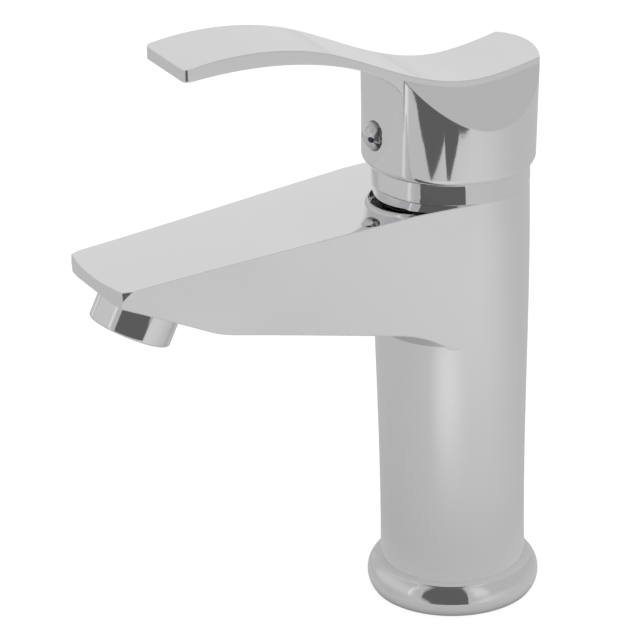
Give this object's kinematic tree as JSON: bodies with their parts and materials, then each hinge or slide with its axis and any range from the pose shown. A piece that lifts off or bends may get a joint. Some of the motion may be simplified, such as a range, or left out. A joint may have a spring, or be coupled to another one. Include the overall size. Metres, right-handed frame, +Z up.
{
  "type": "bathroom mixer faucet",
  "caption": "Single-lever basin mixer: round column, flat-topped wedge spout with a tilted aerator, wave-shaped lever that lifts for flow and swings for temperature.",
  "frame": {"origin": "centre of the foot on the deck, on the column's axis", "axes": "+Z up along the column, spout and lever towards -Y, cold side on +X"},
  "size_m": [0.0536, 0.1485, 0.1949],
  "materials": {
    "chrome": "polished",
    "cap_chrome": "satin chrome plating",
    "brass": "turned",
    "steel": "brushed",
    "white_plastic": "moulded",
    "grey_plastic": "moulded",
    "ceramic": "lapped ceramic",
    "rubber": "matt",
    "hot_red": "glossy inlay",
    "cold_blue": "glossy inlay"
  },
  "bodies": {
    "fixed": {"body_casting": "chrome", "inlet_block": "brass", "block_o_ring": "rubber", "base_gasket": "rubber", "cartridge_base": "grey_plastic", "base_seals": "rubber", "disc_seal": "rubber", "fixed_disc": "ceramic", "cartridge_housing": "white_plastic", "housing_o_ring": "rubber", "cartridge_nut": "brass", "rotor_washer": "grey_plastic", "limit_ring": "grey_plastic", "bonnet": "chrome", "aerator_housing": "chrome", "aerator_gasket": "rubber", "aerator_insert": "white_plastic", "aerator_screen": "steel"},
    "swivel": {"rotor": "grey_plastic", "pivot_pin": "steel"},
    "lever": {"spindle": "steel", "handle": "chrome", "handle_screw": "steel", "index_cap": "cap_chrome", "hot_mark": "hot_red", "cold_mark": "cold_blue"},
    "mixer": {"moving_disc": "ceramic", "disc_carrier": "white_plastic"}
  },
  "joints": [
    {"name": "handle_swing", "type": "hinge", "parent": "fixed", "child": "swivel", "pos_m": [0, 0, 0.134], "axis": [0, 0, 1], "range_deg": [-50, 50]},
    {"name": "handle_lift", "type": "hinge", "parent": "swivel", "child": "lever", "pos_m": [0, 0, 0.134], "axis": [-1, 0, 0], "range_deg": [0, 18]},
    {"name": "disc_slide", "type": "slide", "parent": "swivel", "child": "mixer", "axis": [0, -1, 0], "range_m": [0, 0.0043]}
  ],
  "couplings": [
    {"joint": "disc_slide", "follows": "handle_lift", "m_per_rad": 0.0135}
  ]
}
